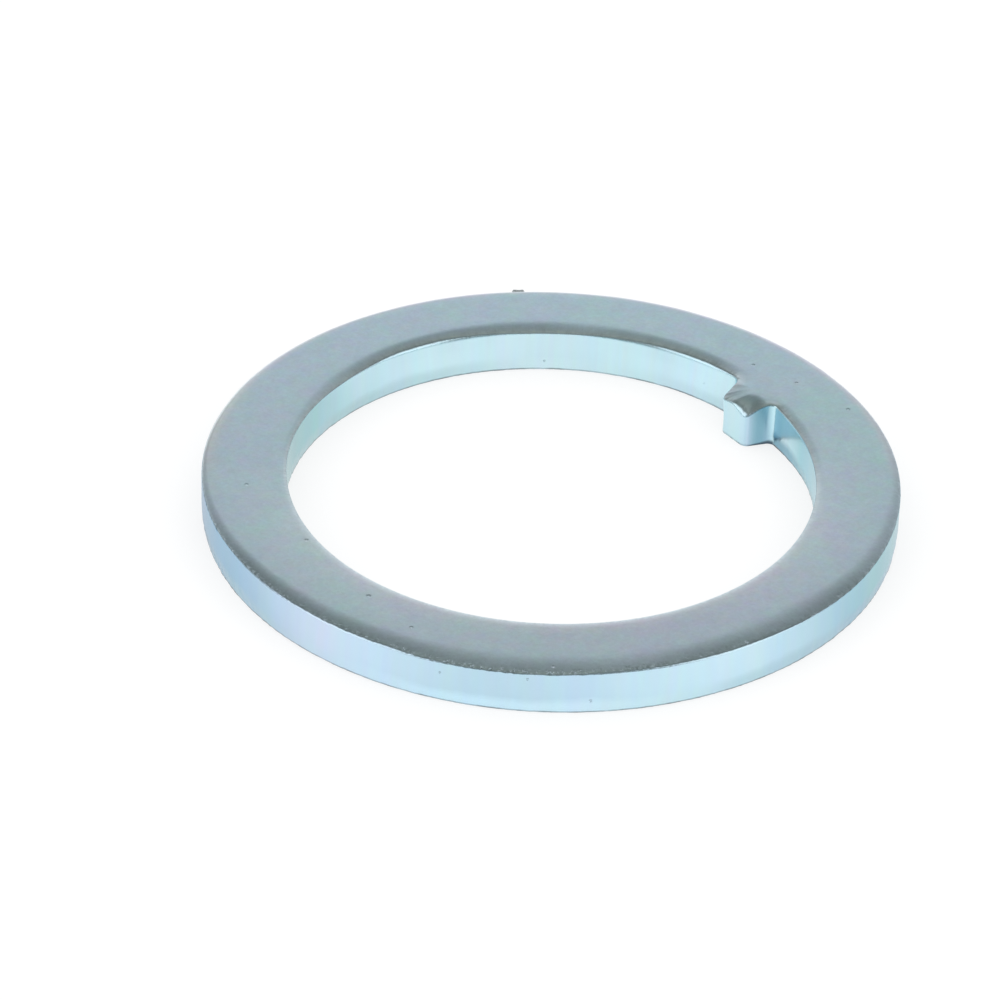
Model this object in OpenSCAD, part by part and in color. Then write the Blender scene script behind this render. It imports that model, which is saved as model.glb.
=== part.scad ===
// Headset washer: a flat ring blanked from steel strip, with one key that
// points into its bore. It lies on z = 0, its bore runs along Z, and the key
// is on the +X side.

/* [Ring] */
// Outside diameter of the rim
rim_d = 46.2; // [45:0.1:50]
// Diameter of the bore, across its smooth band
bore_d = 35; // [33:0.1:36]
// Thickness of the strip
thickness = 3.15; // [2.8:0.05:4]

/* [Key] */
// How far the key stands into the bore
key_reach = 1.95; // [1.6:0.05:2.25]
// Width of the key's end before its corners are rounded
key_end_w = 2.4; // [2:0.05:2.7]
// Angle by which each flank of the key flares out towards the rim
key_flare = 21; // [16:1:26]
// Radius of the two corners at the key's end
key_corner_r = 0.55; // [0.4:0.05:0.8]
// Radius of the two fillets where the key grows out of the bore
key_fillet_r = 0.5; // [0.4:0.05:0.9]

/* [Rolled upper edges] */
// Width of the roll-over round the rim
rim_roll_w = 1.5; // [0.8:0.1:1.8]
// Depth of the roll-over round the rim
rim_roll_h = 0.25; // [0.1:0.05:0.4]
// Width of the roll-over round the bore
bore_roll_w = 1.2; // [0.8:0.1:1.4]
// Depth of the roll-over round the bore
bore_roll_h = 0.2; // [0.18:0.02:0.3]
// Length of the key's sloping nose, from its end back to the flat face
nose_l = 1.8; // [1.4:0.1:2.4]
// Depth of that slope at the key's end
nose_h = 0.6; // [0.4:0.05:0.8]
// Width of the roll-over along each flank of the key
flank_roll_w = 1.2; // [0.8:0.1:1.3]
// Depth of that roll-over at the key's end, where the metal is free to bend
flank_roll_h = 0.88; // [0.7:0.02:1]
// Depth of that roll-over at the root, where the ring holds the metal
root_roll_h = 0.14; // [0.06:0.01:0.14]

/* [Broken lower wall] */
// Height of the broken part of the rim and the bore, above the bottom face
break_h = 1.2; // [0.6:0.1:1.5]
// How far the broken part draws back by the time it reaches the bottom
break_draw = 0.1; // [0.05:0.01:0.2]
// Size of the small bevel that ends the broken part at the bottom face
foot_bevel = 0.06; // [0.03:0.01:0.12]

/* [Hidden] */

rim_r = rim_d / 2;
bore_r = bore_d / 2;
tip_x = bore_r - key_reach;

// Flat steps that stand for the curve of one rolled edge, and of one corner
roll_steps = 8;
corner_steps = 7;
// How far the key runs on into the ring, and a cutter past what it cuts
lap = 0.5;
// How far the top of a fillet stands above the crease of the bore
fillet_lip = 0.02;
// Angle by which a fillet's arc stops short of the walls that it would touch,
// to run on straight into their metal
fillet_lead = 16;

// The key's back, inside the ring and behind the roll-over of the bore
back_x = bore_r + bore_roll_w + lap;
back_y = key_end_w / 2 + (back_x - tip_x) * tan(key_flare);

// The right flank, seen along +X: where it would meet the key's end if the
// corner were sharp, and the directions along it to the rim and into the key
flank_start = [tip_x, -key_end_w / 2];
flank_along = direction(-key_flare);
flank_in = direction(90 - key_flare);

// Centre of the right corner's arc, which touches the end and the flank
corner_c = [
    tip_x + key_corner_r,
    -key_end_w / 2 + key_corner_r * (1 - sin(key_flare)) / cos(key_flare)
];

// Centre of the right fillet's arc, which touches the flank and the bore: it
// lies on a line beside the flank, at the fillet's radius from the bore, and
// fillet_run is how far along the flank the arc begins
fillet_line = flank_start - key_fillet_r * flank_in;
fillet_run = sqrt(
    pow(fillet_line * flank_along, 2) - fillet_line * fillet_line
    + pow(bore_r - key_fillet_r, 2)
) - fillet_line * flank_along;
fillet_c = fillet_line + fillet_run * flank_along;

function direction(angle) = [cos(angle), sin(angle)];

// Wall with its rolled top edge, from the bottom up, as [depth into the metal,
// height]. The roll-over is a quarter of an ellipse, upright at the wall.
function wall_profile(roll_w, roll_h) = concat(
    [[break_draw + foot_bevel, 0], [break_draw, foot_bevel], [0, break_h]],
    [for (i = [0:roll_steps])
        let (a = 90 * i / roll_steps)
        [roll_w * (1 - cos(a)), thickness - roll_h * (1 - sin(a))]]
);

// The plain ring, turned from its section, with its seam away from the key
module ring() {
    rim_wall = wall_profile(rim_roll_w, rim_roll_h);
    bore_wall = wall_profile(bore_roll_w, bore_roll_h);
    section = concat(
        [for (p = rim_wall) [rim_r - p[0], p[1]]],
        [for (i = [len(bore_wall) - 1:-1:0]) [bore_r + bore_wall[i][0], bore_wall[i][1]]]
    );
    rotate([0, 0, 180])
        rotate_extrude($fn = 180)
            polygon(section);
}

// The key seen from above, back to where it is lost inside the ring
module key_plan() {
    right = concat(
        [[back_x, -back_y]],
        [for (i = [0:corner_steps])
            let (a = 270 - key_flare - (90 - key_flare) * i / corner_steps)
            corner_c + key_corner_r * direction(a)]
    );
    left = [for (i = [len(right) - 1:-1:0]) [right[i][0], -right[i][1]]];
    polygon(concat(right, left));
}

// What a roll-over takes off above the wall's crease, which is at the origin.
// It falls away from the flat face more and more steeply, up to the wall. The
// cutter's first and last steps run on for one more step, past the wall and
// above the face. With fewer steps it also stands higher, so that two cutters
// of one flank share no face above the key.
module roll_profile(roll_w, roll_h, steps) {
    function fall(u) = roll_h * (1 - pow(1 - u, 2));
    step = 1 / steps;
    top = roll_h + 3 * step;
    curve = [for (i = [1:steps - 1]) [roll_w * i * step, fall(i * step)]];
    polygon(concat(
        [[-roll_w * step, -fall(step)]],
        curve,
        [[roll_w * (1 + step), 2 * roll_h - fall(1 - step)]],
        [[roll_w * (1 + step), top], [-roll_w * step, top]]
    ));
}

// Cuts the sloping nose across the key's end
module nose_cut() {
    translate([tip_x, back_y, thickness - nose_h])
        rotate([90, 0, 0])
            linear_extrude(2 * back_y)
                roll_profile(nose_l, nose_h, roll_steps);
}

// Cuts a roll-over along the right flank, its crease rising by an angle pitch
module flank_cut(roll_h, pitch, steps) {
    translate([flank_start[0], flank_start[1], thickness - roll_h])
        rotate([0, -pitch, -key_flare])
            translate([-lap, 0, 0])
                rotate([90, 0, 90])
                    linear_extrude(back_x - tip_x + 2 * lap)
                        roll_profile(flank_roll_w, roll_h, steps);
}

// Cuts both roll-overs of the right flank: a level one along all of it, and
// one that starts deep at the key's end and meets it where the fillet begins
module flank_cuts() {
    flank_cut(root_roll_h, 0, roll_steps - 3);
    flank_cut(flank_roll_h, atan((flank_roll_h - root_roll_h) / fillet_run), roll_steps);
}

// Fills the right inner corner between the flank and the bore, up to the
// creases, leaving the hollow round of the fillet
module fillet() {
    first = 90 - key_flare - fillet_lead;
    last = atan2(fillet_c[1], fillet_c[0]) + fillet_lead;
    arc = [for (i = [0:corner_steps])
        let (a = first + (last - first) * i / corner_steps)
        fillet_c + key_fillet_r * direction(a)];
    into_key = 2 * key_fillet_r * tan(fillet_lead / 2);
    into_ring = 5 * lap;
    behind = key_fillet_r + 2 * lap;
    linear_extrude(thickness - bore_roll_h + fillet_lip)
        polygon(concat(
            [arc[0] + into_key * direction(first + 90)],
            arc,
            [arc[corner_steps] + into_ring * direction(last - 90)],
            [fillet_c + behind * direction((first + last) / 2)]
        ));
}

// The key, with everything that its roll-overs take off
module key() {
    difference() {
        linear_extrude(thickness)
            key_plan();
        nose_cut();
        flank_cuts();
        mirror([0, 1, 0])
            flank_cuts();
    }
    fillet();
    mirror([0, 1, 0])
        fillet();
}

// The whole washer, in bright zinc with a faint blue cast
module washer() {
    color([0.66, 0.75, 0.79])
        union() {
            ring();
            key();
        }
}

washer();
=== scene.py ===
# %% [markdown]
# # Headset washer
#
# A headset washer sits round the steering stem of a motorcycle or scooter, under a nut. It is one
# piece: a ring that a press blanked out of steel strip, with one key that points into its bore, and a
# bright zinc plate over all of it. This lesson dresses the plain CAD washer. It measures the CAD
# solid, draws the outlines of the rim and of the bore, and lofts the pressed walls along them with
# Geometry Nodes. Then it plates the metal with a node material and sets up the light and the camera.
#
# Every length is in metres. The washer lies on z = 0, its bore runs along Z, and the key is on the
# +X side.

# %% Load the CAD frame
import math

import bpy
import numpy as np
from mathutils import Matrix, Vector


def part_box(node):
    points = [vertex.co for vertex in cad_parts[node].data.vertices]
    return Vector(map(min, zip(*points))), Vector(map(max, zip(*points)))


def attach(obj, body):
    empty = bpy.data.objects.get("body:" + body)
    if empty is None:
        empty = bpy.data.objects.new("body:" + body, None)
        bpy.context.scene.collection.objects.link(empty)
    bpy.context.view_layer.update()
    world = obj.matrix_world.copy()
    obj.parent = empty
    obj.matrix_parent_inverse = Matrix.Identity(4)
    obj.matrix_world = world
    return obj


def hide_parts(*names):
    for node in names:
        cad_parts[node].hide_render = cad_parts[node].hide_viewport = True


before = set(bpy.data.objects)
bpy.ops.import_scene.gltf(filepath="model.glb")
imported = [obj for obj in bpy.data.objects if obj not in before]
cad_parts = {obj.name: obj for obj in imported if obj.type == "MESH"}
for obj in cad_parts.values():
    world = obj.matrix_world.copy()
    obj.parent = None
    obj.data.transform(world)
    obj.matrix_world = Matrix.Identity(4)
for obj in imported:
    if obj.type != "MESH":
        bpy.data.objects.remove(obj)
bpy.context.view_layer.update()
cad_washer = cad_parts["washer"]
scene = bpy.context.scene
MM = 0.001

# %% [markdown]
# ## Measure the washer
#
# The looks have to fit the CAD solid, so its main sizes are read from its mesh and not typed again.
# The rim and the thickness come from its box. The bore is the smallest radius on the side away from
# the key, because there the wall's smooth band is the tightest part. Only the key reaches further in
# than that, so its end is the lowest x of the points that do.

# %% Sizes read from the CAD solid
low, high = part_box("washer")
corners = np.array([vertex.co[:] for vertex in cad_washer.data.vertices])
reach = np.hypot(corners[:, 0], corners[:, 1])

rim_r = (high.y - low.y) / 2
thickness = high.z
bore_r = float(reach[corners[:, 0] < 0].min())
tip_x = float(corners[reach < 0.99 * bore_r, 0].min())
print(f"rim {rim_r / MM:.2f}, bore {bore_r / MM:.2f}, key end at {tip_x / MM:.2f}, "
      f"thickness {thickness / MM:.2f} mm")

# %% [markdown]
# ## Draw the key's outline
#
# Seen from above, one side of the key is a hollow fillet, a straight flank and a rounded corner, and
# then comes the straight end. These touch each other smoothly, so a few lines of trigonometry place
# their arcs exactly. Each point of the outline also carries the direction into the metal, because
# the pressed walls lean and roll that way, and its place: 0 to 1 along the right fillet, 1 to 2
# along the right flank, 2 to 3 round the corner, 3 to 4 along the end, and so on to 7.

# %% Centres and directions on the right side of the key
# the same four sizes shape the key of the CAD part
key_end_w = 2.4 * MM
key_flare = math.radians(21)
key_corner_r = 0.55 * MM
key_fillet_r = 0.5 * MM


def heading(angle):
    """Unit vector at an angle in the plane of the washer."""
    return np.array([math.cos(angle), math.sin(angle)])


flank_start = np.array([tip_x, -key_end_w / 2])
flank_along = heading(-key_flare)
flank_in = heading(math.pi / 2 - key_flare)
corner_c = np.array([
    tip_x + key_corner_r,
    -key_end_w / 2 + key_corner_r * (1 - math.sin(key_flare)) / math.cos(key_flare),
])
fillet_line = flank_start - key_fillet_r * flank_in
fillet_foot = fillet_line @ flank_along
fillet_c = fillet_line + flank_along * (
    math.sqrt(fillet_foot ** 2 - fillet_line @ fillet_line + (bore_r - key_fillet_r) ** 2)
    - fillet_foot
)
half_angle = -math.atan2(fillet_c[1], fillet_c[0])
print(f"the key and its fillets take {2 * math.degrees(half_angle):.1f} degrees of the bore")

# %% [markdown]
# ## Walk along the outline
#
# The outline is read as a row of stations. Each stretch of the key is a function that turns a share
# of its length into a point and the direction into the metal. Only the right side is walked, because
# the left side is its mirror image. The rest of the bore is one long arc, with its stations close
# enough together for the loft to show each chip of a ragged crease.

# %% Stations round the key and the bore
stretches = 7  # fillet, flank and corner on each side, and the straight end between them
end_steps = 12
ring_stations = 1200


def arc(centre, radius, first, last, share, hollow):
    """Point of an arc and the direction into the metal, which lies outside a hollow arc."""
    out = heading(first + (last - first) * share)
    return centre + radius * out, out if hollow else -out


def fillet(share):
    return arc(fillet_c, key_fillet_r, -half_angle, math.pi / 2 - key_flare, share, True)


def flank(share):
    start = fillet_c + key_fillet_r * flank_in
    end = corner_c - key_corner_r * flank_in
    return start + (end - start) * share, flank_in


def corner(share):
    return arc(corner_c, key_corner_r, 1.5 * math.pi - key_flare, math.pi, share, False)


def key_end(share):
    return np.array([tip_x, corner_c[1] * (1 - 2 * share)]), np.array([1.0, 0.0])


right_stretches = [(fillet, 12), (flank, 14), (corner, 12)]
end_place = len(right_stretches)
right_side = []
for number, (stretch, count) in enumerate(right_stretches):
    right_side += [(*stretch(step / count), number + step / count) for step in range(count)]
end_side = [(*key_end(step / end_steps), end_place + step / end_steps)
            for step in range(end_steps + 1)]
flip = np.array([1, -1])
left_side = [(point * flip, inward * flip, stretches - place)
             for point, inward, place in right_side[::-1]]
key_side = right_side + end_side + left_side

# the last station of the key is where the long arc of the bore starts
ring_angles = np.linspace(half_angle, 2 * math.pi - half_angle, ring_stations + 2)[1:-1]
ring_side = [(bore_r * heading(angle), heading(angle), stretches) for angle in ring_angles]

bore_edge, bore_inward, bore_place = map(np.array, zip(*key_side, *ring_side))
bore_angle = np.degrees(np.arctan2(bore_edge[:, 1], bore_edge[:, 0])) % 360
stations = len(bore_edge)
on_ring = bore_place == stretches
print(stations, "stations round the bore,", len(key_side), "of them on the key")

# %% [markdown]
# ## Read a short table at every station
#
# A pressed edge changes slowly on its way round, so a few values are enough to describe it. Each
# table lists them as (place, value). The stations between two places are interpolated, and then a
# soft window of nine stations rounds off the kinks. The bore needs a pair of tables: one by angle
# in degrees round the ring, and one by place, from 0 to 7, round the key.

# %% Tables that are read at every station
window = 9


def settled(at, table):
    """Values of a short table of (place, value), read at every station and then smoothed."""
    places, values = zip(*table)
    weights = np.hanning(window + 2)[1:-1]
    read = np.pad(np.interp(at, places, values), window // 2, mode="wrap")
    return np.convolve(read, weights / weights.sum(), mode="valid")


def round_bore(ring_table, key_table):
    """A table by angle round the ring, and a table by place round the key."""
    ring_value = np.interp(bore_angle, *zip(*ring_table))
    key_value = np.interp(bore_place, *zip(*key_table))
    mixed = np.where(on_ring, ring_value, key_value)
    return settled(np.arange(stations), list(enumerate(mixed)))


print("each value is smoothed over", window, "stations")

# %% [markdown]
# ## Draw the line where the top face turns flat
#
# The metal beside a blanked edge was dragged down by the tool. This roll-over needs a second line,
# where it meets the flat top face. Round the bore and in the fillets that line runs beside the edge.
# Beside the key it can't, because lines drawn square to both flanks would cross, so there it closes
# in on one point: the top of the key's sloping nose.

# %% Width of the bore's roll-over in millimetres, and the flat line
nose_l = 1.55 * MM
nose_top = np.array([tip_x + nose_l, 0])
bore_width = MM * round_bore(
    [(8, 1.3), (20, 1.45), (60, 1.5), (92, 1.35), (107, 1.1), (117, 0.8), (127, 0.55), (145, 0.5),
     (165, 0.6), (270, 0.7), (300, 0.6), (320, 0.7), (335, 0.7), (352, 0.9)],
    [(0, 0.9), (1, 1.1), (6, 1.2), (7, 1.3)])

bore_flat = bore_edge + bore_width[:, None] * bore_inward
flank_stations = np.flatnonzero((bore_place >= 1) & (bore_place <= stretches - 1))
first, last = flank_stations[0], flank_stations[-1]
closing = 1 - abs(np.linspace(-1, 1, len(flank_stations)))[:, None]
on_right = flank_stations[:, None] < (first + last) / 2
start_flat = np.where(on_right, bore_flat[first], bore_flat[last])
bore_flat[first:last + 1] = start_flat + (nose_top - start_flat) * closing
print(f"the top face is flat from {np.hypot(*bore_flat.T).min() / MM:.2f} mm out")

# %% [markdown]
# ## How each pressed edge varies
#
# Four values describe an edge. The depth of its roll-over isn't even: the ring holds the metal
# beside the fillets, so it hardly moves there, while the key's free end was dragged down by more
# than half a millimetre, most of all at its right corner. The crease between roll-over and wall is
# rounded. In places the top of the wall also leans back into the metal before it reaches the crease,
# because the strip was pulled in before it was cut through. Last comes the rag, which says from 0 to
# 1 how ragged the metal tore along the crease. The punch ran a little closer on one side than on the
# other, so all of them change round the bore and the rim.

# %% The bore's edge: by angle round the ring, then by place round the key
bore_tables = {
    "depth": (
        [(8, 0.10), (14, 0.15), (32, 0.15), (45, 0.17), (62, 0.17), (75, 0.16), (100, 0.16),
         (115, 0.14), (130, 0.09), (148, 0.05), (165, 0.05), (190, 0.05), (205, 0.04), (290, 0.04),
         (305, 0.05), (318, 0.07), (332, 0.13), (345, 0.15), (352, 0.12)],
        [(0, 0.05), (1.0, 0.04), (1.25, 0.13), (1.5, 0.26), (1.75, 0.46), (2.0, 0.68), (2.4, 0.78),
         (2.75, 0.70), (3.0, 0.60), (3.25, 0.43), (3.5, 0.28), (3.75, 0.33), (4.0, 0.46), (4.5, 0.50),
         (5.0, 0.36), (5.5, 0.22), (6.0, 0.08), (7.0, 0.06)]),
    "crease_round": (
        [(8, 0.10), (16, 0.20), (28, 0.18), (38, 0.08), (60, 0.06), (70, 0.12), (78, 0.20),
         (89, 0.18), (98, 0.08), (115, 0.04), (320, 0.04), (352, 0.12)],
        [(0, 0.16), (1.6, 0.10), (2.3, 0.20), (2.8, 0.46), (3.2, 0.48), (3.5, 0.22), (4.4, 0.10),
         (5.0, 0.08), (7, 0.20)]),
    "lean": (
        [(8, 0.22), (16, 0.34), (28, 0.34), (38, 0.24), (46, 0.08), (58, 0.08), (67, 0.25),
         (76, 0.34), (89, 0.32), (98, 0.14), (107, 0.0), (150, 0.0), (180, 0.06), (262, 0.08),
         (300, 0.06), (325, 0.0), (345, 0.03), (352, 0.05)],
        [(0, 0.05), (0.6, 0.04), (1.1, 0.0), (1.5, 0.0), (3.9, 0.0), (4.4, -0.12), (5.0, -0.04),
         (5.5, 0.0), (6.5, 0.03), (7.0, 0.12)]),
    "rag": (
        [(8, 0.06), (30, 0.10), (60, 0.12), (110, 0.10), (200, 0.10), (352, 0.05)],
        [(0, 0.1), (7, 0.2)]),
}


def in_metres(name, values):
    """The tables give lengths in millimetres. Only the rag is a plain share."""
    return values if name == "rag" else MM * values


bore_values = {name: in_metres(name, round_bore(*pair)) for name, pair in bore_tables.items()}
print(f"the key's right corner is rolled over by {bore_values['depth'].max() / MM:.2f} mm")

# %% [markdown]
# ## The rim's own tables
#
# The rim is described in the same way, by angle alone. The width of its roll-over comes first. It is
# widest from about 200 to 280 degrees, and there the face slopes down to a soft edge.

# %% The rim's edge, by angle
rim_tables = {
    "width": [(0, 0.6), (110, 0.5), (140, 0.35), (149, 0.45), (157, 0.65), (167, 0.95), (177, 1.25),
              (187, 1.5), (202, 1.75), (222, 1.95), (258, 2.0), (277, 1.95), (287, 1.6), (297, 1.2),
              (312, 0.85), (330, 0.6), (360, 0.6)],
    "depth": [(0, 0.20), (12, 0.22), (32, 0.25), (92, 0.27), (112, 0.32), (127, 0.24), (138, 0.17),
              (150, 0.13), (165, 0.19), (180, 0.20), (206, 0.17), (222, 0.18), (230, 0.17),
              (242, 0.13), (250, 0.14), (260, 0.17), (272, 0.19), (290, 0.22), (315, 0.16),
              (332, 0.13), (345, 0.16), (360, 0.20)],
    "crease_round": [(0, 0.08), (110, 0.06), (130, 0.04), (165, 0.05), (180, 0.14), (204, 0.18),
                     (214, 0.12), (222, 0.08), (236, 0.08), (243, 0.14), (266, 0.18), (278, 0.06),
                     (300, 0.04), (335, 0.04), (360, 0.08)],
    "lean": [(0, 0.0), (160, 0.0), (172, 0.10), (188, 0.20), (206, 0.22), (214, 0.05), (228, 0.0),
             (238, 0.08), (246, 0.14), (258, 0.22), (270, 0.22), (282, 0.15), (294, 0.0), (360, 0.0)],
    "rag": [(0, 0.15), (120, 0.2), (145, 0.35), (178, 0.3), (200, 0.4), (214, 0.5), (221, 0.9),
            (237, 0.9), (244, 0.5), (256, 0.2), (274, 0.2), (290, 0.4), (310, 0.3), (360, 0.15)],
}
print("tables for the rim:", ", ".join(rim_tables))

# %% [markdown]
# ## Mark the key
#
# The finish will give the key colours of its own, so each station also says how far along the key's
# outline it lies, from 0 at its right fillet to 1 at its left one, and whether it is on the key. The
# broken zone draws back by a tenth of a millimetre round the ring, but not at all on the key.

# %% Where each station lies on the key
key_share = np.where(on_ring & (bore_angle > 180), 0, bore_place / stretches)
on_key = np.interp(bore_place, [0, 0.3, stretches - 0.3, stretches], [0, 1, 1, 0])
draw_share = np.interp(bore_angle, [0, 9, 24, 336, 351, 360], [0, 0, 1, 1, 0, 0])
print(f"{np.count_nonzero(on_key)} stations take the key's colours")

# %% [markdown]
# ## Give the rim as many stations
#
# The rim is a plain circle. Its stations are placed at the same angles as the flat line of the bore,
# so that the top face can be filled with quads that run straight across it. The middle of the face
# is shared: both walls are lofted up to it, and then they merge.

# %% The rim's outline and the shared middle line
flat_angle = np.arctan2(bore_flat[:, 1], bore_flat[:, 0])
rim_inward = -np.stack([np.cos(flat_angle), np.sin(flat_angle)], axis=1)
rim_edge = -rim_r * rim_inward
rim_angle = np.degrees(flat_angle) % 360
rim_values = {name: in_metres(name, settled(rim_angle, table)) for name, table in rim_tables.items()}
rim_flat = rim_edge + rim_values.pop("width")[:, None] * rim_inward
face_middle = (bore_flat + rim_flat) / 2
print(f"the middle line runs {np.hypot(*face_middle.T).mean() / MM:.2f} mm out on average")

# %% [markdown]
# ## Draw both outlines as meshes
#
# A node tree can't read these arrays, but it can read the attributes of a mesh. So each outline
# becomes a closed line of points, and every point carries its own directions and values. One tiny
# burr was left standing where the rim tore, and it is marked here as well.

# %% Two closed lines that carry the values
burr_angle = 58.4  # degrees
burr_half_width = 1.05  # degrees
burr_length = 0.2 * MM


def draw_plan(name, edge, inward, flat, **values):
    """Outline as a closed line of points. Each point carries what the loft needs to know there."""
    count = len(edge)
    mesh = bpy.data.meshes.new(name)
    points = np.column_stack([edge, np.zeros(count)])
    mesh.from_pydata(points.tolist(), [(i, (i + 1) % count) for i in range(count)], [])
    vectors = {"inward": inward, "to_flat": flat - edge, "to_middle": face_middle - flat}
    for label, vector in vectors.items():
        data = mesh.attributes.new(label, "FLOAT_VECTOR", "POINT").data
        data.foreach_set("vector", np.column_stack([vector, np.zeros(count)]).ravel())
    for label, column in values.items():
        mesh.attributes.new(label, "FLOAT", "POINT").data.foreach_set("value", column)
    plan = bpy.data.objects.new(name, mesh)
    scene.collection.objects.link(plan)
    return plan


nothing = np.zeros(stations)
burr = burr_length * (abs(rim_angle - burr_angle) < burr_half_width)
bore_plan = draw_plan("bore_plan", bore_edge, bore_inward, bore_flat, **bore_values, burr=nothing,
                      draw_share=draw_share, key_share=key_share, on_key=on_key)
rim_plan = draw_plan("rim_plan", rim_edge, rim_inward, rim_flat, **rim_values, burr=burr,
                     draw_share=nothing + 1, key_share=nothing, on_key=nothing)
print("each plan has", len(rim_plan.data.vertices), "points")

# %% [markdown]
# ## Wiring nodes in plain steps
#
# A node tree is a formula. Making each node and each link by hand hides that formula, so this small
# helper lets it read from left to right: every method adds one node, feeds it, and returns its
# output. The same helper serves the geometry trees here and the shader trees later.

# %% A helper that adds and links nodes


class Wiring:
    """Adds nodes to one tree. A source may be another node's output or a plain value."""

    def __init__(self, tree):
        self.tree = tree

    def feed(self, socket, source):
        if isinstance(source, bpy.types.NodeSocket):
            self.tree.links.new(source, socket)
        elif source is not None:
            socket.default_value = source

    def add(self, kind, *sources, out=0, named=None, **settings):
        node = self.tree.nodes.new(kind)
        for name, value in settings.items():
            setattr(node, name, value)
        for socket, source in zip(node.inputs, sources):
            self.feed(socket, source)
        for name, source in (named or {}).items():
            self.feed(node.inputs[name], source)
        return node.outputs[out]

    def math(self, operation, *sources):
        return self.add("ShaderNodeMath", *sources, operation=operation)

    def vector(self, operation, *sources):
        out = "Value" if operation in ("LENGTH", "DOT_PRODUCT", "DISTANCE") else "Vector"
        return self.add("ShaderNodeVectorMath", *sources, operation=operation, out=out)

    def times(self, *factors):
        product = factors[0]
        for factor in factors[1:]:
            product = self.math("MULTIPLY", product, factor)
        return product

    def moved(self, place, *shifts):
        for shift in shifts:
            place = self.vector("ADD", place, shift)
        return place

    def scaled(self, vector, factor):
        return self.add("ShaderNodeVectorMath", vector, operation="SCALE",
                        named={"Scale": factor})

    def up(self, height):
        return self.add("ShaderNodeCombineXYZ", None, None, height)

    def blend(self, share, first, second):
        node = self.tree.nodes.new("ShaderNodeMix")
        node.data_type = "VECTOR"
        for socket, source in zip((node.inputs[0], node.inputs[4], node.inputs[5]),
                                  (share, first, second)):
            self.feed(socket, source)
        return node.outputs[1]

    def ramped(self, value, start, end, first=0.0, second=1.0, smooth=False):
        kind = "SMOOTHSTEP" if smooth else "LINEAR"
        return self.add("ShaderNodeMapRange", value, start, end, first, second,
                        interpolation_type=kind)

    def noise(self, place, size, seed=0.0, detail=2.0, roughness=0.5, out=0):
        """Noise from 0 to 1 whose blotches are about this size."""
        fixed = isinstance(size, float)
        scale = 1 / size if fixed else self.math("DIVIDE", 1.0, size)
        return self.add("ShaderNodeTexNoise", noise_dimensions="4D", out=out, named={
            "Vector": place, "W": seed, "Scale": scale, "Detail": detail,
            "Roughness": roughness})


def sockets(tree, inputs, outputs):
    """Gives a tree its named inputs and outputs. Returns the group input's and output's sockets."""
    for direction, table in (("INPUT", inputs), ("OUTPUT", outputs)):
        for name, (kind, value) in table.items():
            socket = tree.interface.new_socket(name, in_out=direction, socket_type=kind)
            if value is not None:
                socket.default_value = value
    return tree.nodes.new("NodeGroupInput").outputs, tree.nodes.new("NodeGroupOutput").inputs


# %% [markdown]
# ## The bands of a pressed wall
#
# One node group makes one wall of the washer, with half of the top face and half of the bottom face.
# Its section is cut into bands: from the middle of the bottom face to the foot, up the broken zone
# to the burnished land, round the crease, up the roll-over and on to the middle of the top face.
# Noise keeps all this from being even, and every kind of noise has its own size of blotch.

# %% Rows of each band, sizes of the noise, and the sizes that both walls share
bands = {"bottom": 2, "foot": 2, "broken": 7, "land": 5, "crease": 7, "roll": 11, "top": 3}
rows = sum(bands.values())
wall_noise = {  # size in millimetres, and what is added to the seed
    "crease sway": (7, 1.0), "chips": (0.24, 2.0), "tear wave": (5, 3.0),
    "tear ripple": (0.6, 4.0), "foot bevel": (0.5, 5.0),
}
torn_noise_size = 0.45 * MM
FLOAT, GEOMETRY = "NodeSocketFloat", "NodeSocketGeometry"
wall_sizes = {
    "Stations": (FLOAT, 100.0), "Thickness": (FLOAT, 0.003), "Break Height": (FLOAT, 0.001),
    "Break Draw": (FLOAT, 0.0001), "Foot Bevel": (FLOAT, 0.0001), "Tear": (FLOAT, 0.0001),
    "Chip": (FLOAT, 0.0001),
}
print(f"the section has {rows} rows in {len(bands)} bands")

# %% [markdown]
# ## Start from a flat grid
#
# A loft could be a curve swept along another, but the section changes at every station, so the wall
# starts as a flat grid instead. One side of the grid counts stations, and the other counts rows up
# the section. Each point looks up what the outline says at its own station.

# %% Station, row and what the outline says there


def station_grid(wires, count):
    """Flat grid, and the station and the row of each of its points."""
    columns = wires.math("ADD", count, 1.0)
    grid = wires.add("GeometryNodeMeshGrid", count, float(rows), columns, rows + 1)
    place = wires.add("GeometryNodeInputPosition")
    split = wires.add("ShaderNodeSeparateXYZ", place).node
    station = wires.math("ROUND", wires.math("ADD", split.outputs[0], wires.times(count, 0.5)))
    station = wires.math("MODULO", station, count)
    row = wires.math("ADD", split.outputs[1], rows / 2)
    return grid, station, row


def read_outline(wires, outline, station):
    """What the outline's point at this station carries, by name."""
    def sampled(kind, value):
        return wires.add("GeometryNodeSampleIndex", data_type=kind, domain="POINT", named={
            "Geometry": outline, "Value": value, "Index": station})

    said = {"edge": sampled("FLOAT_VECTOR", wires.add("GeometryNodeInputPosition"))}
    numbers = (*rim_values, "burr", "draw_share", "key_share", "on_key")
    for kind, names in (("FLOAT_VECTOR", ("inward", "to_flat", "to_middle")), ("FLOAT", numbers)):
        for name in names:
            value = wires.add("GeometryNodeInputNamedAttribute", name, data_type=kind)
            said[name] = sampled(kind, value)
    return said


def band_shares(wires, row):
    """Each band's share, from 0 below the band to 1 above it."""
    share, passed = {}, 0
    for name, band_rows in bands.items():
        share[name] = wires.ramped(row, float(passed), float(passed + band_rows))
        passed += band_rows
    return share


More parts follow.
